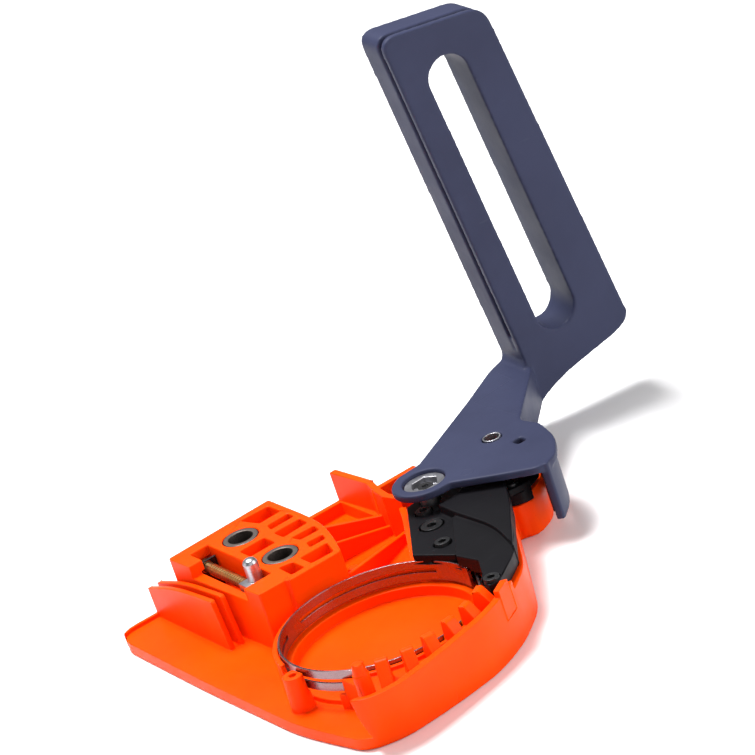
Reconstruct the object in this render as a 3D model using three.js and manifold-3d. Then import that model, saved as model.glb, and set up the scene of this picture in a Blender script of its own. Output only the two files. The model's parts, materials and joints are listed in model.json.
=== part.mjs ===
// Clutch cover of a small chainsaw: moulded cover with bar pad, chain tensioner,
// band brake and the one-sided hand guard that trips the brake.
// Millimetres. The origin is the clutch drum axis on the cover's flat outer face.
// +X points to the rear of the saw, +Y up the saw, +Z inward from the cover to the saw.
import * as THREE from 'three';
import { mergeVertices } from 'three/addons/utils/BufferGeometryUtils.js';
import Module from 'manifold-3d';

const wasm = await Module();
wasm.setup();

// ---- driving dimensions ----
const GAP = 0.3; // clearance between pieces that touch on the real part

const FLOOR = 4.6; // cover floor thickness
const WALL_TOP = 21; // outer wall height
const LEAN_START = 10; // the outer wall leans outward ahead of this y
const LEAN = 0.13;
const REAR_WALL_TOP = 17.6; // wall height under the brake cover
const SHELF_TOP = 16.2; // guide shelf beside the brake band

const BAND_R = 35; // brake band inside radius, on a 70 mm clutch drum
const BAND_T = 0.8; // brake band strip thickness
const BAND_BOTTOM = 11.3;
const BAND_TOP = 19;
const RING_IN = BAND_R + BAND_T + 0.4; // ring wall inside radius
const RING_OUT = 38;
const LEDGE_IN = 33;
const LEDGE_TOP = 10.3;
const DISC_TOP = 6.3; // raised floor disc inside the ring

const PAD_TOP = 27.1; // bar pad face
const STUD_X = [-88, -60.5]; // bar stud sleeves, on y = 0
const SLEEVE_R = 6.8;
const STUD_BORE_R = 4.55; // clears an M8 stud with its nut shoulder
const POCKET_FLOOR = 13;

const SCREW_Y = -14; // tensioner screw axis
const SCREW_Z = 21.4;
const SCREW_R = 2.2;
const SCREW_END = -52.4;
const NUT_X = -58.6;
const PEG_TOP = 33;
const PEG_R = 2.75; // peg on the nut, fits the hole in the guide bar
const ADJUSTER_X = -96.4; // bevel adjuster axis, reached from the outer face

const PIVOT = [-49, 56]; // hand guard pivot axis
const PIVOT_SLEEVE_R = 7.6;
const DRIVE_BUSH = [-51, 87.8]; // ringed hole in the guard's base plate
const GUARD_TOP = 30; // upper face of the guard's base plate
const GUARD_PLATE = 3; // base plate thickness
const SLEEVE_BOTTOM = 25.4;
const HUB_R = 11.8;
const ARM_BOTTOM = 15; // underside of the deep arm, beyond the flange radius
const SECTOR_R = 42; // cover wall that runs round the pivot
const FLANGE_IN = 44;
const FLANGE_OUT = 47;
const FLANGE_BOTTOM = 7.5;

const COVER_BOTTOM = REAR_WALL_TOP + GAP;
const COVER_LOW = 21.6; // brake cover, front part
const COVER_MID = 23.4; // brake cover, middle part
const COVER_HIGH = 25; // brake cover, crescent along the rear wall
const LOBE_TOP = 20.6; // brake cover, lobe under the guard's flange
const LOBE_BOTTOM = 13.3;

const BRAKE_ANGLE = Math.atan2(-0.491, 0.871); // direction of the brake spring in the cover

const ORANGE = new THREE.MeshStandardMaterial({ color: 0xf24e05, roughness: 0.45, metalness: 0 });
const GREY_PLASTIC = new THREE.MeshStandardMaterial({ color: 0x474a5e, roughness: 0.55, metalness: 0 });
const BLACK_PLASTIC = new THREE.MeshStandardMaterial({ color: 0x22232b, roughness: 0.6, metalness: 0 });
const BAND_STEEL = new THREE.MeshStandardMaterial({ color: 0x8f8584, roughness: 0.3, metalness: 1 });
const ZINC = new THREE.MeshStandardMaterial({ color: 0xb9b9bd, roughness: 0.4, metalness: 1 });
const BRASS = new THREE.MeshStandardMaterial({ color: 0xb08850, roughness: 0.35, metalness: 1 });
const SINTERED = new THREE.MeshStandardMaterial({ color: 0x6d6560, roughness: 0.5, metalness: 1 });
const BLACK_STEEL = new THREE.MeshStandardMaterial({ color: 0x1d1d20, roughness: 0.4, metalness: 1 });
const RUBBER = new THREE.MeshStandardMaterial({ color: 0x18181a, roughness: 0.85, metalness: 0 });

// ---- solids ----
function solid(geometry) {
  const bare = geometry.index ? geometry.toNonIndexed() : geometry;
  bare.deleteAttribute('normal');
  bare.deleteAttribute('uv');
  const merged = mergeVertices(bare, 1e-4);
  return new wasm.Manifold(new wasm.Mesh({
    numProp: 3,
    vertProperties: new Float32Array(merged.attributes.position.array),
    triVerts: new Uint32Array(merged.index.array),
  }));
}

function join(pieces) {
  return pieces.reduce((sum, piece) => sum.add(piece));
}

function cut(body, tools) {
  return tools.reduce((rest, tool) => rest.subtract(tool), body);
}

function mesh(name, body, material) {
  const result = body.getMesh();
  const geometry = new THREE.BufferGeometry();
  geometry.setAttribute('position', new THREE.BufferAttribute(result.vertProperties, 3));
  geometry.setIndex(new THREE.BufferAttribute(result.triVerts, 1));
  geometry.computeVertexNormals();
  const part = new THREE.Mesh(geometry, material.clone());
  part.name = name;
  return part;
}

// Closed outline from corners [x, y, trim]; trim is how far the rounding starts from the corner.
function outline(corners) {
  const shape = new THREE.Shape();
  const count = corners.length;
  corners.forEach(([x, y, trim = 0], i) => {
    const corner = new THREE.Vector2(x, y);
    const before = new THREE.Vector2(...corners[(i + count - 1) % count].slice(0, 2)).sub(corner);
    const after = new THREE.Vector2(...corners[(i + 1) % count].slice(0, 2)).sub(corner);
    const reach = Math.min(trim, 0.48 * before.length(), 0.48 * after.length());
    const start = corner.clone().add(before.setLength(reach));
    const end = corner.clone().add(after.setLength(reach));
    if (i === 0) shape.moveTo(start.x, start.y);
    else shape.lineTo(start.x, start.y);
    if (reach > 0) shape.quadraticCurveTo(x, y, end.x, end.y);
  });
  shape.closePath();
  return shape;
}

function extrude(shape, depth, curveSegments = 5) {
  return new THREE.ExtrudeGeometry(shape, { depth, bevelEnabled: false, curveSegments });
}

function prism(corners, z0, z1) {
  return solid(extrude(outline(corners), z1 - z0).translate(0, 0, z0));
}

// Thin rib whose top slopes from one end height to the other.
function slopedRib([x0, y0, z0], [x1, y1, z1]) {
  const thickness = 1.8;
  const length = Math.hypot(x1 - x0, y1 - y0);
  const geometry = extrude(outline([[0, 1], [length, 1], [length, z1], [0, z0]]), thickness);
  geometry.translate(0, 0, -thickness / 2).rotateX(Math.PI / 2).rotateZ(Math.atan2(y1 - y0, x1 - x0));
  return solid(geometry.translate(x0, y0, 0));
}

// Round post between two heights, with its own radius at each end.
function post(x, y, z0, z1, r0, r1 = r0, sides = 28) {
  const geometry = new THREE.CylinderGeometry(r1, r0, z1 - z0, sides);
  return solid(geometry.rotateX(Math.PI / 2).translate(x, y, (z0 + z1) / 2));
}

// Straight wall between two points.
function wall(x0, y0, x1, y1, thickness, z0, z1) {
  const geometry = new THREE.BoxGeometry(Math.hypot(x1 - x0, y1 - y0), thickness, z1 - z0);
  geometry.rotateZ(Math.atan2(y1 - y0, x1 - x0));
  return solid(geometry.translate((x0 + x1) / 2, (y0 + y1) / 2, (z0 + z1) / 2));
}

function box(x0, x1, y0, y1, z0, z1) {
  const geometry = new THREE.BoxGeometry(x1 - x0, y1 - y0, z1 - z0);
  return solid(geometry.translate((x0 + x1) / 2, (y0 + y1) / 2, (z0 + z1) / 2));
}

// Wall along an arc, angles in degrees.
function arcWall(cx, cy, rIn, rOut, from, to, z0, z1, steps = 40) {
  const shape = new THREE.Shape();
  const a0 = THREE.MathUtils.degToRad(from);
  const a1 = THREE.MathUtils.degToRad(to);
  shape.absarc(cx, cy, rOut, a0, a1, false);
  shape.absarc(cx, cy, rIn, a1, a0, true);
  shape.closePath();
  return solid(extrude(shape, z1 - z0, steps).translate(0, 0, z0));
}

// Upright plate in the XZ plane: profile corners are [x, z, trim].
function upright(profile, y, thickness) {
  const geometry = extrude(outline(profile), thickness);
  return solid(geometry.rotateX(Math.PI / 2).translate(0, y + thickness / 2, 0));
}

// Rod along any direction.
function rod(from, to, radius, endRadius = radius, sides = 24) {
  const start = new THREE.Vector3(...from);
  const end = new THREE.Vector3(...to);
  const along = end.clone().sub(start);
  const geometry = new THREE.CylinderGeometry(endRadius, radius, along.length(), sides);
  const turn = new THREE.Quaternion().setFromUnitVectors(new THREE.Vector3(0, 1, 0), along.clone().normalize());
  geometry.applyQuaternion(turn);
  const middle = start.add(end).multiplyScalar(0.5);
  return solid(geometry.translate(middle.x, middle.y, middle.z));
}

// Point in the brake compartment: along the spring, across it, height.
function brakePoint(along, across, z) {
  const x = Math.cos(BRAKE_ANGLE) * along - Math.sin(BRAKE_ANGLE) * across;
  const y = Math.sin(BRAKE_ANGLE) * along + Math.cos(BRAKE_ANGLE) * across;
  return [x, y, z];
}

// ---- cover shell ----
const COVER_OUTLINE = [
  [-112.8, -46.8, 9],
  [-53, -47.4, 20],
  [10, -46.4, 20],
  [31, -43.4, 9],
  [49, -40, 6],
  [52.8, -27, 9],
  [48.8, -6, 9],
  [41.6, 19.2, 9],
  [33.5, 33, 6],
  [20.5, 47.6, 7],
  [-29.6, 75.2, 1],
  [-26.2, 81.5, 5],
  [-31, 91, 5],
  [-40, 97, 5],
  [-57, 96.6, 6],
  [-75, 90, 8],
  [-81.5, 70, 6],
  [-81.5, 53, 0],
  [-110.5, 53, 0],
];

// Inside line of the outer wall, and the region that the outer wall stands on.
const WALL_INSIDE = [
  [44.6, -60, 0],
  [44.8, -38.6, 0],
  [48, -35.4, 3],
  [49.6, -25.6, 9],
  [45.8, -6.6, 9],
  [39.2, 17.8, 9],
  [31.6, 31.6, 0],
  [20, 60, 0],
  [-120, 60, 0],
  [-120, -60, 0],
];

const POCKETS = [
  [[-99.5, 6.9], [-98.8, 18.8], [-90.3, 18.8], [-90, 9.6]],
  [[-85.4, 10], [-85.7, 19.2], [-81.2, 19.1], [-81.2, 9]],
  [[-77.6, 8], [-77.4, 19.1], [-71.4, 18.8], [-70.9, 8]],
  [[-67.4, 9.2], [-66.8, 18.6], [-62, 17.9], [-62.4, 10]],
  [[-58.2, 9.8], [-57.5, 16.4], [-53.5, 15.2], [-53.6, 8.6]],
  [[-50.3, 2.1], [-50.2, 13.6], [-41.9, 11.2], [-42.4, 2.1]],
  [[-52, -6], [-50.4, -0.9], [-42.4, -0.9], [-42.4, -6.4]],
  [[-78.3, -6.4], [-78.3, 4.2], [-70.6, 4.2], [-70.6, -6.4]],
];

// Prism whose outer wall leans outward with height, more and more towards its front corner.
function leaningPrism(corners, z0, z1) {
  const geometry = extrude(outline(corners), z1 - z0).translate(0, 0, z0);
  const place = geometry.attributes.position;
  for (let i = 0; i < place.count; i += 1) {
    const below = (WALL_TOP - place.getZ(i)) / WALL_TOP;
    const share = THREE.MathUtils.clamp((place.getX(i) - 5) / 35, 0, 1);
    const lean = Math.max(0, LEAN_START - place.getY(i)) * LEAN * share * below;
    place.setX(i, place.getX(i) - lean);
  }
  return solid(geometry);
}

function barPad() {
  const block = prism([
    [-101.8, -23.1, 1.5], [-103.2, 21.6, 1.5], [-78, 21.9, 8], [-65, 21, 6], [-53, 17.8, 6],
    [-39.3, 12.7, 1.5], [-39.2, -9.4, 1], [-41, -10.2, 0.5], [-41.2, -21, 1],
  ], 1, PAD_TOP);
  const pockets = POCKETS.map((corners) => prism(corners.map(([x, y]) => [x, y, 1]), POCKET_FLOOR, PAD_TOP + 1));
  const bosses = STUD_X.map((x) => post(x, 0, POCKET_FLOOR - 1, PAD_TOP, SLEEVE_R + 2.2, undefined, 36));
  const bores = STUD_X.map((x) => post(x, 0, -1, PAD_TOP + 1, SLEEVE_R + 0.05, undefined, 36));
  const trough = [
    box(-100, -51.2, -18.4, -9.6, 12, 23.2),
    box(-95.8, -51.2, -17.1, -9.6, 22, PAD_TOP + 1),
    box(-87.4, -51.2, -24, -9.6, 22.4, PAD_TOP + 1),
  ];
  const adjusterWell = post(ADJUSTER_X, SCREW_Y, -1, 12.5, 4.6, undefined, 24);
  return { body: cut(join([cut(block, pockets), ...bosses]), trough), holes: [...bores, adjusterWell] };
}

function guideWings() {
  const profile = [[-112, 1], [-112.4, 16, 0.5], [-91, 21.4, 14], [-62.4, 23.6, 1.5], [-59, 1]];
  return [-29, -24.9].map((y) => upright(profile, y, 1.9));
}

// Sprocket-side teeth that keep the chain off the shelf: a tapered fin with a sloping top.
function tooth(angle, radius) {
  const profile = outline([[-5, 0], [-4, 9, 0.9], [-1.4, 9, 0.9], [4.6, 0]]);
  const geometry = extrude(profile, 4.4).translate(0, 0, -2.2);
  geometry.rotateX(Math.PI / 2).rotateZ(THREE.MathUtils.degToRad(angle));
  const a = THREE.MathUtils.degToRad(angle);
  return solid(geometry.translate(radius * Math.cos(a), radius * Math.sin(a), SHELF_TOP - 0.5));
}

const TEETH = [[-30.5, 46.5], [-18.6, 45.5], [-6.3, 42.6], [8.2, 40.6], [22.6, 40.2], [37, 40.6]];

// Brake cover screws: place and the cover's height there.
const COVER_SCREWS = [
  [-43.7, 49.6, COVER_LOW], [-16.3, 39.3, COVER_LOW], [27.2, 30.8, COVER_MID], [-30.6, 78.9, LOBE_TOP],
];
const LEVER_PIN = [-32.1, 45.2];
const PIVOT_SHANK_R = 3.6;
const SCREW_HEAD_R = 3.1;
const SCREW_HEAD_H = 2;
const SHANK_R = 1.5;

function brakeHousing() {
  const front = [
    wall(-110.5, 52.4, -87, 54.2, 2.6, 1, WALL_TOP),
    wall(-88, 54.2, -79.5, 52.2, 2.6, 1, WALL_TOP),
    wall(-80.5, 52.2, -71, 51, 2.6, 1, WALL_TOP),
    wall(-72, 50.8, -63.2, 53, 2.6, 1, WALL_TOP),
    wall(-80.2, 52, -80.2, 70, 2.6, 1, WALL_TOP),
    wall(-80.2, 69, -73.6, 88, 2.6, 1, 16),
    wall(-74, 87.6, -57, 94.8, 2.6, 1, 16),
  ];
  const inner = [
    wall(-63.5, 51.8, -56, 48.2, 2.6, 1, REAR_WALL_TOP),
    wall(-57, 48.8, -22, 29.6, 2.6, 1, REAR_WALL_TOP),
  ];
  const sector = [
    arcWall(...PIVOT, SECTOR_R - 3, SECTOR_R, 72, 112, 1, 16, 20),
    cut(prism(COVER_OUTLINE, 1, 16), [prism([
      [-32.4, 74.6, 0], [-32.2, 77, 0], [-29.4, 81.5, 4], [-33.8, 88.8, 4], [-41, 93.4, 3], [-41, 130, 0], [-150, 130, 0],
      [-150, -90, 0], [90, -90, 0], [90, 74.6, 0],
    ], 0, 40), box(-60, 0, 60, 84, 13, 40)]),
  ];
  const bosses = COVER_SCREWS.map(([x, y, top]) => post(x, y, 1, top < COVER_LOW ? 13 : REAR_WALL_TOP, 3.2));
  bosses.push(post(...LEVER_PIN, 1, 7, 4.2));
  bosses.push(post(...PIVOT, 1, REAR_WALL_TOP, 7.4));
  return [...front, ...inner, ...sector, ...bosses];
}

const GUIDE_POST = [2.9, -38.4];

function coverShell() {
  const floor = leaningPrism(COVER_OUTLINE, 0, FLOOR);
  const upperRim = [
    wall(-110.1, 20, -109.4, 52.6, 2.4, 1, 9.4),
    wall(-110.6, 51.8, -84, 51.8, 2.4, 1, 9.4),
    cut(prism([[-112.8, -46.8, 9], [-96, -46.95, 0], [-96, -24, 0], [-112.3, -24, 0]], 1, 6), [
      prism([[-111.2, -48.5, 9], [-90, -48.5, 0], [-90, -23, 0], [-110.6, -23, 0]], 0, 10),
    ]),
  ];
  const rightRegion = prism([
    [42, -60, 0], [60, -60, 0], [60, 29.6, 0], [31, 36.5, 0], [27, 29, 0], [0, 0, 0], [20, -41.5, 0], [42, -41.5, 0],
  ], 0, 40);
  const rightBlock = leaningPrism(COVER_OUTLINE, 1, WALL_TOP).intersect(rightRegion);
  const wallInside = prism(WALL_INSIDE, SHELF_TOP, 50);
  const frontEdge = prism([[-20, -60, 0], [44.5, -60, 0], [44.5, -36, 0], [30, -30, 0], [-20, -30, 0]], FLOOR, 50);
  const drumWell = post(0, 0, DISC_TOP, 50, RING_IN, undefined, 72);
  const outerWall = cut(rightBlock, [wallInside, frontEdge, drumWell]);
  const peak = prism([[31.6, 31.2], [33, 33.4], [37.6, 26.6], [35.8, 25.4]], 12, 23.6);
  const rearWall = cut(prism(COVER_OUTLINE, 1, REAR_WALL_TOP), [prism([
    [36, 20, 0], [31.4, 31, 0], [18.4, 44.8, 6], [-29.6, 73.1, 0], [-20, 79, 0], [-20, 120, 0], [-140, 200, 0],
    [-160, -80, 0], [70, -80, 0], [70, 29, 0], [31.6, 33.5, 0],
  ], 0, 50)]);
  const ring = arcWall(0, 0, RING_IN, RING_OUT, -40, 260, 1, REAR_WALL_TOP, 60);
  const ledge = arcWall(0, 0, LEDGE_IN, RING_IN + 0.5, -60, 255, 1, LEDGE_TOP, 63);
  const disc = post(0, 0, 1, DISC_TOP, LEDGE_IN + 0.5, undefined, 72);
  const guidePost = post(...GUIDE_POST, 1, 17.5, 4.4, 3.6);
  const drumPin = [post(39.6, -31.5, 1, 24.5, 3.5, 2.8), post(39.6, -31.5, 24, 28.5, 2.6, 2.1)];
  const ribs = [
    slopedRib([-97.6, 21, 14.3], [-79, 51.7, 10.9]),
    slopedRib([-76.5, 20.5, 14], [-74.9, 51, 7.9]),
    slopedRib([-47.5, 16, 13.8], [-65, 51, 8]),
  ];
  const smallBoss = post(-63.5, 26, 1, 7, 2.4, 2);
  const teeth = TEETH.map(([angle, radius]) => tooth(angle, radius));
  const pad = barPad();
  const bandExit = prism([[-3, 30, 0], [-24, 46, 0], [8, 46, 0], [21.5, 33.5, 0], [15, 27, 0]], LEDGE_TOP, 50);
  const body = join([
    cut(join([floor, ring, outerWall, rearWall]), [bandExit]), ledge, disc, ...upperRim, peak, guidePost, ...drumPin,
    ...ribs, smallBoss, ...teeth, pad.body, ...guideWings(), ...brakeHousing(),
  ]);
  const screwHoles = COVER_SCREWS.map(([x, y]) => post(x, y, 6, 40, SHANK_R + GAP, undefined, 20));
  const hollows = [
    ...pad.holes, ...screwHoles,
    post(...LEVER_PIN, 3, 40, 2.3, undefined, 20),
    post(...GUIDE_POST, 8, 40, 1.4, undefined, 16),
    post(...PIVOT, 3, 40, PIVOT_SHANK_R + GAP, undefined, 24),
    post(0, 0, LEDGE_TOP, 50, BAND_R + BAND_T + 0.35, undefined, 72),
  ];
  return cut(body, hollows);
}

// ---- bar studs and chain tensioner ----
function studSleeve(x) {
  const outer = post(x, 0, 0.6, PAD_TOP - 0.05, SLEEVE_R - 0.25, undefined, 36);
  return cut(outer, [post(x, 0, -1, PAD_TOP + 1, STUD_BORE_R, undefined, 36)]);
}

function tensionerScrew() {
  const gearStart = ADJUSTER_X + 2.6;
  const core = rod([gearStart, SCREW_Y, SCREW_Z], [SCREW_END, SCREW_Y, SCREW_Z], SCREW_R - 0.25, undefined, 12);
  const gear = rod([gearStart, SCREW_Y, SCREW_Z], [gearStart + 1.3, SCREW_Y, SCREW_Z], 2.2, 3.2, 12);
  const threads = [];
  const pitch = 1.5;
  for (let x = -88; x < SCREW_END - pitch; x += pitch) {
    threads.push(rod([x, SCREW_Y, SCREW_Z], [x + pitch / 2, SCREW_Y, SCREW_Z], SCREW_R - 0.3, SCREW_R, 12));
  }
  return join([core, gear, ...threads]);
}

function tensionerNut() {
  const peg = [NUT_X + 0.6, SCREW_Y + 1.2];
  const body = join([
    box(NUT_X - 3.4, NUT_X + 3.4, SCREW_Y - 3.9, SCREW_Y + 3.9, SCREW_Z - 4, SCREW_Z + 3.2),
    post(...peg, SCREW_Z + 2.4, 26, 3, PEG_R, 28),
    post(...peg, 25.8, PEG_TOP - 1.6, PEG_R, undefined, 28),
    post(...peg, PEG_TOP - 1.6, PEG_TOP - 0.5, PEG_R, 2.1, 28),
    post(...peg, PEG_TOP - 0.5, PEG_TOP, 2.1, 1, 28),
  ]);
  return cut(body, [rod([NUT_X - 9, SCREW_Y, SCREW_Z], [NUT_X + 9, SCREW_Y, SCREW_Z], SCREW_R + 0.06, undefined, 24)]);
}

function tensionerAdjuster() {
  const x = ADJUSTER_X;
  const body = join([
    post(x, SCREW_Y, 0.8, 6, 4.2, undefined, 24),
    post(x, SCREW_Y, 5.5, 17.8, 2.4, undefined, 20),
    post(x, SCREW_Y, 17.4, 18.7, 3.1, 2.1, 12),
  ]);
  return cut(body, [box(x - 6, x + 6, SCREW_Y - 0.6, SCREW_Y + 0.6, -1, 2.8)]);
}

function screwRetainer() {
  const x = ADJUSTER_X + 4.7;
  const plate = box(x - 0.5, x + 0.5, SCREW_Y - 2.9, SCREW_Y + 4.1, 12.3, 24.2);
  return cut(plate, [rod([x - 4, SCREW_Y, SCREW_Z], [x + 4, SCREW_Y, SCREW_Z], SCREW_R + 0.3, undefined, 20)]);
}

// ---- band brake ----
const BAND_ANCHOR = [6.9, 41.2];

const TONGUE_ANGLE = 64; // the pulled end leaves the drum circle here
const WINDOW_SWEEP = 90;
const FIXED_ANGLE = 85; // the anchored end turns outward here

function brakeBand() {
  const strip = arcWall(0, 0, BAND_R, BAND_R + BAND_T, FIXED_ANGLE, 360 + TONGUE_ANGLE, BAND_BOTTOM, BAND_TOP, 68);
  const middle = (BAND_BOTTOM + BAND_TOP) / 2;
  const windows = [113, 219, 325].map((from) => arcWall(
    0, 0, BAND_R - 2, BAND_R + 3, from, from + WINDOW_SWEEP, middle - 0.7, middle + 0.7, 10));
  const a = THREE.MathUtils.degToRad(TONGUE_ANGLE);
  const r = BAND_R + BAND_T / 2;
  const start = [r * Math.cos(a) + 0.5 * Math.sin(a), r * Math.sin(a) - 0.5 * Math.cos(a)];
  const length = 25.5;
  const tongue = wall(...start, start[0] - length * Math.sin(a), start[1] + length * Math.cos(a),
    BAND_T, BAND_BOTTOM + 2, BAND_TOP - 2.4);
  const b = THREE.MathUtils.degToRad(FIXED_ANGLE + 0.6);
  const tab = wall((BAND_R + 0.1) * Math.cos(b), (BAND_R + 0.1) * Math.sin(b), 42 * Math.cos(b), 42 * Math.sin(b),
    BAND_T, BAND_BOTTOM, BAND_TOP - 1.6);
  const slit = arcWall(0, 0, BAND_R + 1.3, BAND_R + 4.6, 70, 96, BAND_BOTTOM + 1.6, BAND_TOP - 2, 6);
  return join([cut(strip, windows), cut(tab, [slit]), tongue]);
}

// ---- hand guard ----
const PADDLE_CENTRE = [-84.1, 140.2, 95.8];
const PADDLE_TILT = THREE.MathUtils.degToRad(6.8);
const PADDLE_YAW = THREE.MathUtils.degToRad(-4.7);
const PADDLE_T = 18.3;
const PLATE_EDGE = 3; // front plate of the paddle, ahead of the seam
const SEAM_WIDTH = 2.4;
const SEAM_DEPTH = 2;
const SEAM_END = 36.7; // height where the seam runs out into the arm

// A slab drawn across (u) and up (v) the paddle's face, from depth 0 at the face to t behind it.
function paddleSlab(shape, front, back, curveSegments = 8) {
  const geometry = extrude(shape, front + back, curveSegments).translate(0, 0, -back);
  const upright = new THREE.Matrix4().makeBasis(
    new THREE.Vector3(0, 1, 0), new THREE.Vector3(0, 0, 1), new THREE.Vector3(1, 0, 0));
  geometry.applyMatrix4(upright).rotateX(PADDLE_TILT).rotateZ(PADDLE_YAW);
  return solid(geometry.translate(...PADDLE_CENTRE));
}

// Paddle outline across and up its face; inset moves the left and top edges inward.
function paddleOutline(inset) {
  return outline([
    [-19.6 + inset, -78.8], [-18.6 + inset, 75.4 - inset, 7], [22.8, 65.2 - inset, 7], [25.4, -69.6, 7],
    [18, -72.2, 2], [-5.3, -74.4, 6], [-14.4, -76.6, 3],
  ]);
}

function handGuard() {
  const seam = cut(paddleSlab(paddleOutline(-3), -PLATE_EDGE, PLATE_EDGE + SEAM_WIDTH), [
    paddleSlab(paddleOutline(SEAM_DEPTH), 0, PADDLE_T),
    prism([[-130, 90, 0], [-60, 90, 0], [-60, 200, 0], [-130, 200, 0]], 0, SEAM_END),
  ]);
  const paddle = cut(paddleSlab(paddleOutline(0), 0, PADDLE_T), [seam]);
  const slotShape = new THREE.Shape();
  slotShape.absarc(0, 49.2, 8.2, 0, Math.PI, false);
  slotShape.absarc(0, -49.2, 8.2, Math.PI, 2 * Math.PI, false);
  slotShape.closePath();
  const slot = paddleSlab(slotShape, 5, PADDLE_T + 5, 12);
  const arm = [
    [-61, 61.4, 0], [-75.2, 83.8, 0], [-86.1, 101, 0], [-100.7, 122.3, 6], [-104.4, 134, 0], [-88, 131.5, 0],
    [-84.6, 129.8, 4], [-52.4, 101.4, 3], [-42, 103.3, 0], [-40, 80, 0],
  ];
  const plate = prism([
    [-61.5, 60, 1], [-64.5, 93, 0], [-52, 101, 2], [-41.5, 103.2, 2], [-27, 99.5, 6], [-15, 91, 4], [-12, 82.5, 5],
    [-24, 71, 0], [-37, 59.5, 0], [-37.5, 52, 3], [-49, 44.6, 7], [-60.6, 50, 5],
  ], GUARD_TOP - GUARD_PLATE, GUARD_TOP);
  const hub = post(...PIVOT, GUARD_TOP - GUARD_PLATE, GUARD_TOP, HUB_R, undefined, 40);
  const flange = arcWall(...PIVOT, FLANGE_IN, FLANGE_OUT, 38, 82, FLANGE_BOTTOM, GUARD_TOP, 20);
  const rootFillet = paddleSlab(outline([
    [-19, -52], [-19.2, -64.4, 9], [-31, -64.6], [-31, -72], [-15, -72], [-15, -52],
  ]), 0, PADDLE_T).intersect(prism(arm, ARM_BOTTOM, 60));
  const body = join([paddle, prism(arm, ARM_BOTTOM, GUARD_TOP), rootFillet, plate, hub, flange]);
  const underside = post(...PIVOT, 10, GUARD_TOP - GUARD_PLATE, FLANGE_IN, undefined, 48);
  return cut(body, [
    underside,
    slot,
    post(...PIVOT, 0, 60, PIVOT_SLEEVE_R + 0.3, undefined, 40),
    post(...DRIVE_BUSH, 20, 60, 3.7, undefined, 28),
    box(-40.3, -36.3, 89.3, 93.1, 20, 60),
  ]);
}

function guardSeal() {
  return arcWall(...PIVOT, SECTOR_R + 0.5, FLANGE_IN - 0.05, 42, 79, FLANGE_BOTTOM + 2, 24.5, 18);
}

function driveBush() {
  const body = join([
    post(...DRIVE_BUSH, 22, GUARD_TOP + 0.2, 3.4, undefined, 28),
    post(...DRIVE_BUSH, 24, 26.7, 4.5, undefined, 28),
  ]);
  return cut(body, [post(...DRIVE_BUSH, 20, 40, 2.8, undefined, 24)]);
}

function pivotSleeve() {
  const body = join([
    post(...PIVOT, SLEEVE_BOTTOM, 28.6, PIVOT_SLEEVE_R, undefined, 40),
    post(...PIVOT, 3.4, SLEEVE_BOTTOM + 1, PIVOT_SHANK_R, undefined, 24),
  ]);
  const hex = post(...PIVOT, 26, 40, 5.2, undefined, 6);
  const bore = post(...PIVOT, 12, 40, 1.9, undefined, 20);
  return cut(body, [hex, bore]);
}

function pivotScrew() {
  const body = join([post(...PIVOT, 26.3, 27.6, 2.9, undefined, 20), post(...PIVOT, 13, 26.6, 1.6, undefined, 16)]);
  return cut(body, [post(...PIVOT, 26.9, 30, 1.3, undefined, 6)]);
}

// ---- brake cover and what it hides ----
function brakeCover() {
  const plate = join([
    prism([
      [-53.4, 48.6], [-19.9, 28.6], [-4.2, 36.3], [-6, 46], [-30, 66], [-47, 70, 4], [-56, 60, 3],
    ], COVER_BOTTOM, COVER_LOW),
    prism([
      [-26, 50.4], [0, 34.4], [10.8, 36.4], [20.6, 31.4], [25.2, 27.4], [30.6, 27.6], [31, 31.6], [18.4, 47.2, 6],
      [-24, 71],
    ], COVER_BOTTOM, COVER_MID),
    prism([
      [-45, 52.6], [-26, 51.9, 4], [-3, 53, 9], [12.6, 48.9, 4], [18.6, 46.6, 2],
      [-12, 66.6], [-27, 75], [-36, 76], [-41, 66],
    ], COVER_BOTTOM, COVER_HIGH),
    prism([[-27.6, 72.5], [-26.2, 80, 2], [-26.2, 84, 3], [-30.6, 91.6, 3], [-38, 88], [-38, 72]], COVER_BOTTOM, LOBE_TOP),
    prism([[-29.4, 75.4], [-26.2, 80, 2], [-26.2, 83.6], [-34, 83.6], [-34, 75.4]], LOBE_BOTTOM, LOBE_TOP),
  ]);
  const holes = COVER_SCREWS.flatMap(([x, y, top]) => [
    post(x, y, 5, 50, SHANK_R + GAP, undefined, 20),
    post(x, y, top - 1.4, 50, SCREW_HEAD_R + GAP, undefined, 24),
  ]);
  const clearances = [
    post(...PIVOT, 0, 60, PIVOT_SHANK_R + GAP, undefined, 30),
    post(...PIVOT, COVER_LOW, 60, 13, undefined, 40),
    post(...LEVER_PIN, COVER_LOW - 3.4, 60, 4.6, undefined, 24),
    post(...LEVER_PIN, 0, 60, 2.3, undefined, 20),
    arcWall(...PIVOT, SECTOR_R - 3.3, SECTOR_R + GAP, 70, 130, 0, COVER_BOTTOM, 30),
    arcWall(0, 0, BAND_R - 0.5, BAND_R + BAND_T + 0.4, 50, 140, 0, BAND_TOP + GAP, 30),
  ];
  return cut(plate, [...holes, ...clearances]);
}

function torxScrew([x, y, top]) {
  const seat = top - 1.4 + GAP;
  const body = join([
    post(x, y, 6.6, seat + 0.2, SHANK_R, undefined, 16),
    post(x, y, seat, seat + SCREW_HEAD_H, SCREW_HEAD_R, SCREW_HEAD_R - 0.3, 24),
  ]);
  return cut(body, [post(x, y, seat + 0.8, 50, 1.5, undefined, 6)]);
}

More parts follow.
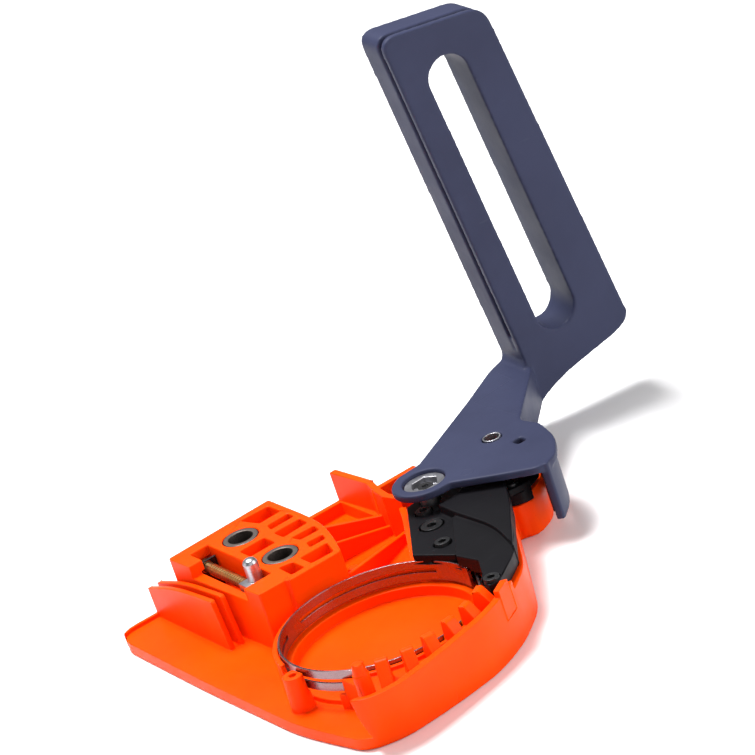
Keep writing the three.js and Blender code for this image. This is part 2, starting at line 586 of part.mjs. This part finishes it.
function leverPin() {
  const body = join([post(...LEVER_PIN, 3.4, 20, 2, undefined, 20), post(...LEVER_PIN, 18.6, 21.8, 4.2, 4, 28)]);
  return cut(body, [post(...LEVER_PIN, 20.4, 30, 1.9, undefined, 6)]);
}

const SPRING_ACROSS = 41;
const SPRING_Z = 11.4;
const PULL_ACROSS = 34.4;

function kneeLever() {
  const [hx, hy] = LEVER_PIN;
  const [px, py] = brakePoint(-50, PULL_ACROSS, 0);
  const body = join([
    post(hx, hy, 7.6, 12.4, 4.3, undefined, 24),
    wall(hx, hy, px, py, 5.4, 7.6, 12.4),
    post(px, py, 7.6, 12.4, 3, undefined, 20),
  ]);
  return cut(body, [post(hx, hy, 0, 40, 2.15, undefined, 20)]);
}

function brakePlunger() {
  const head = rod(brakePoint(-46, SPRING_ACROSS, SPRING_Z), brakePoint(-44, SPRING_ACROSS, SPRING_Z), 5.6);
  const stem = rod(brakePoint(-45, SPRING_ACROSS, SPRING_Z), brakePoint(-22, SPRING_ACROSS, SPRING_Z), 2.2);
  const tab = wall(...brakePoint(-46, PULL_ACROSS, 0).slice(0, 2), ...brakePoint(-44, PULL_ACROSS, 0).slice(0, 2),
    5, 12.9, 17);
  const web = wall(...brakePoint(-45, PULL_ACROSS - 2, 0).slice(0, 2), ...brakePoint(-45, SPRING_ACROSS, 0).slice(0, 2),
    2, 12.9, 16.4);
  return join([head, stem, tab, web]);
}

function pullLink() {
  return wall(...brakePoint(-43.6, PULL_ACROSS, 0).slice(0, 2), ...brakePoint(-29, PULL_ACROSS, 0).slice(0, 2),
    1, 12.9, 16.9);
}

function springSeat() {
  const plate = wall(...brakePoint(-24, SPRING_ACROSS - 5.6, 0).slice(0, 2),
    ...brakePoint(-24, SPRING_ACROSS + 5.6, 0).slice(0, 2), 2, FLOOR + GAP, 17);
  return cut(plate, [rod(brakePoint(-30, SPRING_ACROSS, SPRING_Z), brakePoint(-18, SPRING_ACROSS, SPRING_Z), 2.7)]);
}

// Coil spring drawn as one swept round wire.
class Coil extends THREE.Curve {
  constructor(from, to, radius, turns) {
    super();
    Object.assign(this, { from, to, radius, turns });
  }

  getPoint(t) {
    const angle = 2 * Math.PI * this.turns * t;
    const along = this.from + (this.to - this.from) * t;
    const [x, y, z] = brakePoint(along, SPRING_ACROSS + this.radius * Math.cos(angle),
      SPRING_Z + this.radius * Math.sin(angle));
    return new THREE.Vector3(x, y, z);
  }
}

function brakeSpring() {
  const turns = 6;
  const wire = new THREE.Shape();
  wire.absarc(0, 0, 0.9, 0, 2 * Math.PI, false);
  const path = new Coil(-42.6, -26.4, 4.4, turns);
  return solid(new THREE.ExtrudeGeometry(wire, {
    steps: turns * 16, extrudePath: path, bevelEnabled: false, curveSegments: 4,
  }));
}

function anchorPin() {
  return post(...BAND_ANCHOR, LEDGE_TOP + GAP, 17.4, 1.4, undefined, 20);
}

// ---- assembly ----
const cover = new THREE.Group();
cover.add(
  mesh('cover_shell', coverShell(), ORANGE),
  mesh('bar_stud_sleeve_front', studSleeve(STUD_X[0]), SINTERED),
  mesh('bar_stud_sleeve_rear', studSleeve(STUD_X[1]), SINTERED),
  mesh('tensioner_screw', tensionerScrew(), BRASS),
  mesh('tensioner_nut', tensionerNut(), ZINC),
  mesh('tensioner_adjuster', tensionerAdjuster(), ZINC),
  mesh('tensioner_retainer', screwRetainer(), SINTERED),
);

const brake = new THREE.Group();
brake.add(
  mesh('brake_band', brakeBand(), BAND_STEEL),
  mesh('band_anchor_pin', anchorPin(), BLACK_STEEL),
  mesh('knee_lever', kneeLever(), SINTERED),
  mesh('knee_lever_pin', leverPin(), BLACK_STEEL),
  mesh('brake_plunger', brakePlunger(), ZINC),
  mesh('band_pull_link', pullLink(), BAND_STEEL),
  mesh('spring_seat', springSeat(), SINTERED),
  mesh('brake_spring', brakeSpring(), BLACK_STEEL),
  mesh('brake_cover', brakeCover(), BLACK_PLASTIC),
);
COVER_SCREWS.forEach((place, i) => {
  brake.add(mesh(`cover_screw_${i + 1}`, torxScrew(place), BLACK_STEEL));
});

const guard = new THREE.Group();
guard.add(
  mesh('hand_guard', handGuard(), GREY_PLASTIC),
  mesh('guard_seal', guardSeal(), RUBBER),
  mesh('guard_drive_bush', driveBush(), ZINC),
  mesh('pivot_sleeve', pivotSleeve(), ZINC),
  mesh('pivot_screw', pivotScrew(), BLACK_STEEL),
);

const assembly = new THREE.Group();
assembly.add(cover, brake, guard);

export default assembly;
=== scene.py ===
import json
import math

import bmesh
import bpy
from mathutils import Matrix, Vector


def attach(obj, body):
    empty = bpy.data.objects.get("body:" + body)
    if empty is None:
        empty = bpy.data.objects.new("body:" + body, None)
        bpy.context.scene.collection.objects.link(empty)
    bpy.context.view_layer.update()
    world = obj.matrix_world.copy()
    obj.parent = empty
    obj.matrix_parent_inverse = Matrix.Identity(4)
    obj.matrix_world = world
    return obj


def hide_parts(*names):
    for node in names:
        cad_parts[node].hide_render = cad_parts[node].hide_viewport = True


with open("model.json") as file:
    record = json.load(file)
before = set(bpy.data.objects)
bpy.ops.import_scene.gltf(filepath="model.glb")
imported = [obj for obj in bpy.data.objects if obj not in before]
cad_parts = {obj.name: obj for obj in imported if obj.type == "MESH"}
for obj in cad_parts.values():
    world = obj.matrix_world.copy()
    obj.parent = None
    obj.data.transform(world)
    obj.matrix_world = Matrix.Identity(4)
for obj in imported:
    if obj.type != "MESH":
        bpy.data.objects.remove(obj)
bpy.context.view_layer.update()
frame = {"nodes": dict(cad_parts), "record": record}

CAD = frame["nodes"]
RECORD = frame["record"]
BODY_OF = {
    node: body
    for body, nodes in RECORD["behaviour"]["bodies"].items()
    for node in nodes
}
SLOT_OF = {part["node"]: part["material_slot"] for part in RECORD["subparts"]}
MM = 0.001

# ---- lengths are in metres, unless a name or a comment says otherwise ----
WELD_DISTANCE = 2e-6
SHORTEST_EDGE = 5e-5
FLAT_ANGLE = math.radians(0.6)
BEVEL_ANGLE = math.radians(28)
SHARP_DEGREES = 38
THREAD_SHARP_DEGREES = 50
COVER_EDGE = 0.00035
PLATE_EDGE = 0.0004
TURNED_EDGE = 0.0003
SMALL_EDGE = 0.00015
GUARD_VOXEL = 0.00046
GUARD_PASSES = 14

# Marks on the guard's upper face, in millimetres: rings as centre and radius, lines as two ends.
EJECTOR_RINGS = [((-37.0, 67.2), 2.2)]
PARTING_LINES = [
    ((-82.1, 101.6), (-56.9, 103.2)),
    ((-82.0, 101.6), (-84.0, 120.3)),
    ((-84.0, 120.3), (-93.0, 120.7)),
]
MARKS_FADE_IN = (0.0292, 0.0298)
MARKS_FADE_OUT = (0.0305, 0.031)
MARK_HALF_WIDTH = (0.00008, 0.0003)

ORANGE_MAIN = (1.0, 0.068, 0.0)
ORANGE_SHADE = (0.93, 0.054, 0.0)
ORANGE_SPECK = (0.7, 0.04, 0.0)
WORN_STEEL = (0.16, 0.155, 0.15)

FLOOR_HALF_SIZE = 6.0
FLOOR_DROP = 0.0003
FLOOR_COLOUR = (0.93, 0.93, 0.94)
OBJECT_MIDDLE = (-0.04, 0.05, 0.06)
WORLD_STRENGTH = 0.27
LENS_MM = 200.26
SENSOR_MM = 36
VIEW_END = 50
CAMERA_PLACE = (1.154928, -0.535179, 0.62872)
CAMERA_RIGHT = (0.52589442, 0.79689735, -0.29730401)
CAMERA_UP = (-0.1850487, 0.44836858, 0.87448419)
CAMERA_FORWARD = (-0.83017591, 0.40487063, -0.38325935)


# ---- shader helpers ----
class Material:
    """A principled material with a few shorthands for procedural detail."""

    def __init__(self, name):
        self.material = bpy.data.materials.new(name)
        self.material.use_nodes = True
        self.tree = self.material.node_tree
        self.shader = self.tree.nodes["Principled BSDF"]
        self.place = self.node("ShaderNodeTexCoord").outputs["Object"]

    def node(self, kind, **settings):
        made = self.tree.nodes.new(kind)
        for key, value in settings.items():
            setattr(made, key, value)
        return made

    def link(self, a, b):
        self.tree.links.new(a, b)

    def stretched(self, scale):
        mapping = self.node("ShaderNodeMapping")
        mapping.inputs["Scale"].default_value = scale
        self.link(self.place, mapping.inputs["Vector"])
        return mapping.outputs["Vector"]

    def noise(self, scale, detail=4.0, roughness=0.6, stretch=None):
        """Noise with scale features to the metre, stretched along an axis where stretch is below 1."""
        made = self.node("ShaderNodeTexNoise")
        made.inputs["Scale"].default_value = scale
        made.inputs["Detail"].default_value = detail
        made.inputs["Roughness"].default_value = roughness
        self.link(self.stretched(stretch) if stretch else self.place, made.inputs["Vector"])
        return made.outputs["Fac"]

    def remap(self, value, low, high, to_low, to_high):
        """The value, moved from the range low to high to the range to_low to to_high."""
        made = self.node("ShaderNodeMapRange")
        made.inputs["From Min"].default_value = low
        made.inputs["From Max"].default_value = high
        made.inputs["To Min"].default_value = to_low
        made.inputs["To Max"].default_value = to_high
        self.link(value, made.inputs["Value"])
        return made.outputs["Result"]

    def math(self, operation, a, b=None):
        made = self.node("ShaderNodeMath", operation=operation)
        for socket, value in zip(made.inputs, (a, b)):
            if value is None:
                continue
            if isinstance(value, (int, float)):
                socket.default_value = value
            else:
                self.link(value, socket)
        return made.outputs[0]

    def position(self):
        """X, Y and Z of the shaded point, in metres."""
        made = self.node("ShaderNodeSeparateXYZ")
        self.link(self.place, made.inputs[0])
        return made.outputs

    def length(self, a, b):
        squares = self.math("ADD", self.math("MULTIPLY", a, a), self.math("MULTIPLY", b, b))
        return self.math("SQRT", squares)

    def mix(self, factor, a, b):
        made = self.node("ShaderNodeMix", data_type="RGBA")
        for socket, value in (
            (made.inputs["Factor"], factor),
            (made.inputs["A"], a),
            (made.inputs["B"], b),
        ):
            if isinstance(value, tuple):
                socket.default_value = (*value, 1.0)
            else:
                self.link(value, socket)
        return made.outputs["Result"]

    def bumps(self, *layers):
        """Each layer is (height, strength, distance in metres)."""
        normal = None
        for height, strength, distance in layers:
            made = self.node("ShaderNodeBump")
            made.inputs["Strength"].default_value = strength
            made.inputs["Distance"].default_value = distance
            self.link(height, made.inputs["Height"])
            if normal is not None:
                self.link(normal, made.inputs["Normal"])
            normal = made.outputs["Normal"]
        self.link(normal, self.shader.inputs["Normal"])

    def set(self, **values):
        for key, value in values.items():
            socket = self.shader.inputs[key.replace("_", " ")]
            if isinstance(value, tuple) and socket.type == "RGBA":
                socket.default_value = (*value, 1.0)
            elif isinstance(value, (tuple, int, float)):
                socket.default_value = value
            else:
                self.link(value, socket)


def line_distance(m, start, end):
    """Distance in the XY plane from the straight line between two points, which are in millimetres."""
    x, y, _ = m.position()
    (x0, y0), (x1, y1) = start, end
    length = math.hypot(x1 - x0, y1 - y0)
    ux, uy = (x1 - x0) / length, (y1 - y0) / length
    east = m.math("SUBTRACT", x, x0 * MM)
    north = m.math("SUBTRACT", y, y0 * MM)
    along = m.math("ADD", m.math("MULTIPLY", east, ux), m.math("MULTIPLY", north, uy))
    inside = m.math("MINIMUM", m.math("MAXIMUM", along, 0.0), length * MM)
    gone_x = m.math("SUBTRACT", east, m.math("MULTIPLY", inside, ux))
    gone_y = m.math("SUBTRACT", north, m.math("MULTIPLY", inside, uy))
    return m.length(gone_x, gone_y)


def ring_distance(m, centre, radius):
    """Distance in the XY plane from a circle, whose centre and radius are in millimetres."""
    x, y, _ = m.position()
    east = m.math("SUBTRACT", x, centre[0] * MM)
    north = m.math("SUBTRACT", y, centre[1] * MM)
    return m.math("ABSOLUTE", m.math("SUBTRACT", m.length(east, north), radius * MM))


def mould_marks(m):
    """Faint parting lines on the arm and an ejector ring on the base plate, on the upper face only."""
    distances = [ring_distance(m, centre, radius) for centre, radius in EJECTOR_RINGS]
    distances += [line_distance(m, start, end) for start, end in PARTING_LINES]
    nearest = distances[0]
    for distance in distances[1:]:
        nearest = m.math("MINIMUM", nearest, distance)
    _, _, height = m.position()
    upper = m.remap(height, *MARKS_FADE_IN, 0.0, 1.0)
    lower = m.remap(height, *MARKS_FADE_OUT, 1.0, 0.0)
    drawn = m.remap(nearest, *MARK_HALF_WIDTH, 1.0, 0.0)
    return m.math("MULTIPLY", drawn, m.math("MULTIPLY", upper, lower))


def moulded(name, colour, shade, light, roughness, grain, gloss, marks=None):
    """Moulded plastic: a fine spark grain, cloudy flow marks, and scuffs a little lighter than the rest."""
    m = Material(name)
    clouds = m.noise(28, 3)
    flow = m.noise(60, 5, 0.65, (1.0, 0.35, 1.0))
    base = m.mix(m.remap(clouds, 0.35, 0.7, 0.0, 1.0), colour, shade)
    scratches = m.noise(900, 2, 0.5, (1.0, 0.05, 0.4))
    scuffs = m.math(
        "MULTIPLY",
        m.remap(scratches, 0.66, 0.74, 0.0, 0.5),
        m.remap(m.noise(45, 3), 0.5, 0.65, 0.0, 1.0),
    )
    rough = m.remap(flow, 0.3, 0.7, roughness - 0.05, roughness + 0.06)
    m.set(
        Base_Color=m.mix(scuffs, base, light),
        Roughness=m.math("ADD", rough, m.math("MULTIPLY", scuffs, 0.08)),
        IOR=1.5,
        Specular_IOR_Level=gloss,
    )
    layers = [
        (m.noise(3200, 2, 0.5), grain, 0.00004),
        (m.noise(150, 3), 0.12, 0.0003),
        (scratches, 0.03, 0.0001),
    ]
    if marks:
        layers.append((marks(m), 0.5, 0.00015))
    m.bumps(*layers)
    return m.material


def orange_plastic():
    """Orange plastic that lets a little light in, with cloudy shade, dark specks and fine scratches."""
    m = Material("orange_plastic")
    clouds = m.noise(24, 3)
    base = m.mix(m.remap(clouds, 0.35, 0.7, 0.0, 1.0), ORANGE_MAIN, ORANGE_SHADE)
    specks = m.remap(m.noise(1500, 1, 0.4), 0.74, 0.8, 0.0, 0.5)
    base = m.mix(specks, base, ORANGE_SPECK)
    scratches = m.noise(800, 2, 0.5, (0.06, 1.0, 0.5))
    m.set(
        Base_Color=base,
        Roughness=m.remap(m.noise(70, 5, 0.65), 0.3, 0.7, 0.30, 0.42),
        IOR=1.5,
        Subsurface_Weight=0.18,
        Subsurface_Radius=(0.0022, 0.0009, 0.0003),
        Subsurface_Scale=1.0,
        Specular_IOR_Level=0.07,
    )
    m.bumps(
        (m.noise(2600, 2, 0.5), 0.16, 0.00003),
        (m.noise(120, 3), 0.1, 0.0003),
        (scratches, 0.02, 0.0001),
    )
    return m.material


def metal(name, colour, shade, roughness, stretch, lines, depth, dirt=None):
    """Metal with fine drawn lines, uneven sheen and some darker stain."""
    m = Material(name)
    drawn = m.noise(lines, 3, 0.6, stretch)
    blotches = m.noise(110, 4, 0.6)
    base = m.mix(m.remap(drawn, 0.3, 0.7, 0.0, 1.0), colour, shade)
    if dirt:
        base = m.mix(m.remap(blotches, 0.52, 0.68, 0.0, 0.75), base, dirt)
    rough = m.math(
        "ADD",
        m.remap(drawn, 0.3, 0.7, roughness - 0.06, roughness + 0.08),
        m.remap(blotches, 0.4, 0.7, 0.0, 0.12),
    )
    m.set(Base_Color=base, Metallic=1.0, Roughness=rough)
    m.bumps((drawn, depth, 0.00003), (m.noise(500, 3), 0.08, 0.00006))
    return m.material


def coated_steel(name, colour, roughness):
    """Blackened steel: nearly black, satin, with worn grey patches."""
    m = Material(name)
    wear = m.remap(m.noise(700, 4, 0.65), 0.6, 0.72, 0.0, 0.6)
    m.set(
        Base_Color=m.mix(wear, colour, WORN_STEEL),
        Metallic=0.6,
        Roughness=m.remap(m.noise(260, 4), 0.3, 0.7, roughness - 0.08, roughness + 0.1),
    )
    m.bumps((m.noise(1800, 3), 0.2, 0.00004))
    return m.material


ORANGE = orange_plastic()
GUARD = moulded(
    "guard_plastic",
    colour=(0.034, 0.039, 0.079),
    shade=(0.029, 0.033, 0.067),
    light=(0.06, 0.068, 0.1),
    roughness=0.5,
    grain=0.3,
    gloss=0.12,
    marks=mould_marks,
)
BLACK = moulded(
    "black_plastic",
    colour=(0.0035, 0.0032, 0.005),
    shade=(0.0025, 0.0022, 0.0035),
    light=(0.02, 0.02, 0.024),
    roughness=0.5,
    grain=0.35,
    gloss=0.12,
)
SEAL = moulded(
    "seal_rubber",
    colour=(0.02, 0.014, 0.016),
    shade=(0.014, 0.011, 0.012),
    light=(0.035, 0.03, 0.03),
    roughness=0.62,
    grain=0.4,
    gloss=0.35,
)
BAND = metal(
    "band_steel",
    colour=(0.34, 0.24, 0.25),
    shade=(0.2, 0.13, 0.135),
    roughness=0.24,
    stretch=(1.0, 1.0, 10.0),
    lines=1800,
    depth=0.06,
)
ZINC = metal(
    "zinc_plated_steel",
    colour=(0.5, 0.5, 0.53),
    shade=(0.38, 0.38, 0.41),
    roughness=0.3,
    stretch=(1.0, 1.0, 3.0),
    lines=900,
    depth=0.12,
)
SINTERED = metal(
    "sintered_steel",
    colour=(0.2, 0.165, 0.15),
    shade=(0.12, 0.1, 0.09),
    roughness=0.45,
    stretch=(1.0, 1.0, 1.0),
    lines=1500,
    depth=0.3,
    dirt=(0.07, 0.055, 0.05),
)
BRASS = metal(
    "yellow_chromate",
    colour=(0.72, 0.47, 0.22),
    shade=(0.5, 0.3, 0.13),
    roughness=0.3,
    stretch=(8.0, 1.0, 1.0),
    lines=1200,
    depth=0.12,
)
BLACKENED = coated_steel("blackened_steel", (0.02, 0.02, 0.022), 0.38)

LOOKS = {
    "orange_cover": ORANGE,
    "sintered_steel": SINTERED,
    "brassy_screw": BRASS,
    "zinc_nut": ZINC,
    "zinc_adjuster": ZINC,
    "retainer_steel": BLACKENED,
    "band_steel": BAND,
    "black_steel": BLACKENED,
    "lever_steel": SINTERED,
    "zinc_plunger": ZINC,
    "spring_steel": BLACKENED,
    "black_plate": BLACK,
    "guard_plastic": GUARD,
    "seal_rubber": SEAL,
    "zinc_bush": ZINC,
    "zinc_sleeve": ZINC,
}


# ---- geometry helpers ----
def clean_copy(node):
    """A welded copy of a CAD node with its flat faces joined again."""
    mesh = CAD[node].data.copy()
    bm = bmesh.new()
    bm.from_mesh(mesh)
    bmesh.ops.remove_doubles(bm, verts=bm.verts, dist=WELD_DISTANCE)
    bmesh.ops.dissolve_limit(bm, angle_limit=FLAT_ANGLE, verts=bm.verts, edges=bm.edges)
    bmesh.ops.dissolve_degenerate(bm, edges=bm.edges, dist=SHORTEST_EDGE)
    bm.to_mesh(mesh)
    bm.free()
    mesh.materials.clear()
    mesh.materials.append(LOOKS[SLOT_OF[node]])
    piece = bpy.data.objects.new(node + "_finished", mesh)
    bpy.context.scene.collection.objects.link(piece)
    return piece


def split_faces(mesh):
    """Many-sided faces as triangles, which stay flat when their edges are rounded."""
    bm = bmesh.new()
    bm.from_mesh(mesh)
    many_sided = [face for face in bm.faces if len(face.verts) > 4]
    bmesh.ops.triangulate(bm, faces=many_sided, quad_method="BEAUTY", ngon_method="BEAUTY")
    bm.to_mesh(mesh)
    bm.free()


def apply_modifiers(piece):
    """Turn what the modifiers make into the piece's own mesh."""
    seen = piece.evaluated_get(bpy.context.evaluated_depsgraph_get())
    mesh = bpy.data.meshes.new_from_object(seen)
    piece.modifiers.clear()
    piece.data = mesh


def stand_in(piece, node):
    """Let the piece take the CAD node's place: the node is hidden and the piece is attached to the node's
    body.
    """
    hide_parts(node)
    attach(piece, BODY_OF[node])


def smooth(piece, degrees):
    """Smooth shading, broken where two faces meet at more than this angle."""
    for face in piece.data.polygons:
        face.use_smooth = True
    piece.data.set_sharp_from_angle(angle=math.radians(degrees))


def rounded(node, width):
    """Copy of a CAD node with its edges rounded, standing in for it."""
    piece = clean_copy(node)
    split_faces(piece.data)
    bevel = piece.modifiers.new("round", "BEVEL")
    bevel.width = width
    bevel.segments = 2
    bevel.limit_method = "ANGLE"
    bevel.angle_limit = BEVEL_ANGLE
    bevel.use_clamp_overlap = False
    bevel.miter_outer = "MITER_ARC"
    apply_modifiers(piece)
    smooth(piece, SHARP_DEGREES)
    weighted = piece.modifiers.new("normals", "WEIGHTED_NORMAL")
    weighted.keep_sharp = True
    weighted.weight = 80
    stand_in(piece, node)


def melted(node, voxel, passes):
    """Copy of a CAD node remeshed and relaxed, so that all its edges and corners are filleted."""
    piece = clean_copy(node)
    remesh = piece.modifiers.new("remesh", "REMESH")
    remesh.mode = "VOXEL"
    remesh.voxel_size = voxel
    relax = piece.modifiers.new("relax", "SMOOTH")
    relax.factor = 0.5
    relax.iterations = passes
    apply_modifiers(piece)
    for face in piece.data.polygons:
        face.use_smooth = True
    piece.data.materials.clear()
    piece.data.materials.append(LOOKS[SLOT_OF[node]])
    stand_in(piece, node)


# ---- the pieces ----
rounded("cover_shell", COVER_EDGE)
melted("hand_guard", GUARD_VOXEL, GUARD_PASSES)
rounded("brake_cover", PLATE_EDGE)
for name in (
    "bar_stud_sleeve_front",
    "bar_stud_sleeve_rear",
    "tensioner_nut",
    "tensioner_adjuster",
    "pivot_sleeve",
):
    rounded(name, TURNED_EDGE)
for name in (
    "tensioner_retainer",
    "brake_band",
    "band_anchor_pin",
    "knee_lever",
    "knee_lever_pin",
    "brake_plunger",
    "band_pull_link",
    "spring_seat",
    "cover_screw_1",
    "cover_screw_2",
    "cover_screw_3",
    "cover_screw_4",
    "guard_seal",
    "guard_drive_bush",
    "pivot_screw",
):
    rounded(name, SMALL_EDGE)
for name in ("tensioner_screw", "brake_spring"):
    node = CAD[name]
    node.data.materials.clear()
    node.data.materials.append(LOOKS[SLOT_OF[name]])
    smooth(node, THREAD_SHARP_DEGREES)

# ---- floor, light and camera ----
scene = bpy.context.scene
scene.view_settings.view_transform = "Standard"

floor_mesh = bpy.data.meshes.new("floor")
floor_bm = bmesh.new()
bmesh.ops.create_grid(floor_bm, x_segments=1, y_segments=1, size=FLOOR_HALF_SIZE)
floor_bm.to_mesh(floor_mesh)
floor_bm.free()
floor = bpy.data.objects.new("floor", floor_mesh)
floor.location = (0, 0, -FLOOR_DROP)
scene.collection.objects.link(floor)
pale = Material("pale_floor")
pale.set(Base_Color=FLOOR_COLOUR, Roughness=0.75, Specular_IOR_Level=0.2)
floor_mesh.materials.append(pale.material)


def soft_light(name, direction, distance, size, watts, colour=(1, 1, 1)):
    """Area light aimed at the middle of the object, from a direction in the part's frame."""
    light = bpy.data.lights.new(name, "AREA")
    light.shape = "RECTANGLE"
    light.size, light.size_y = size
    light.energy = watts
    light.color = colour
    lamp = bpy.data.objects.new(name, light)
    away = Vector(direction).normalized()
    lamp.location = Vector(OBJECT_MIDDLE) + away * distance
    lamp.rotation_euler = away.to_track_quat("Z", "Y").to_euler()
    scene.collection.objects.link(lamp)


soft_light("key", (-0.3, -0.1, 1.0), 1.1, (0.45, 0.45), 24)
soft_light("right", (0.9, 0.75, 0.45), 1.2, (0.8, 0.8), 9, (1.0, 0.98, 0.96))
soft_light("left", (-0.6, -1.0, 0.3), 1.2, (0.7, 0.5), 1.4, (0.97, 0.98, 1.0))
soft_light("front", (1.0, -0.4, 0.5), 1.6, (0.9, 0.9), 3)

world = bpy.data.worlds.new("studio")
world.use_nodes = True
world.node_tree.nodes["Background"].inputs["Color"].default_value = (1, 1, 1, 1)
world.node_tree.nodes["Background"].inputs["Strength"].default_value = WORLD_STRENGTH
scene.world = world

camera_data = bpy.data.cameras.new("camera")
camera_data.lens = LENS_MM
camera_data.sensor_width = SENSOR_MM
camera_data.clip_end = VIEW_END
camera = bpy.data.objects.new("camera", camera_data)
turn = Matrix((Vector(CAMERA_RIGHT), Vector(CAMERA_UP), -Vector(CAMERA_FORWARD))).transposed().to_4x4()
camera.matrix_world = Matrix.Translation(Vector(CAMERA_PLACE)) @ turn
scene.collection.objects.link(camera)
scene.camera = camera
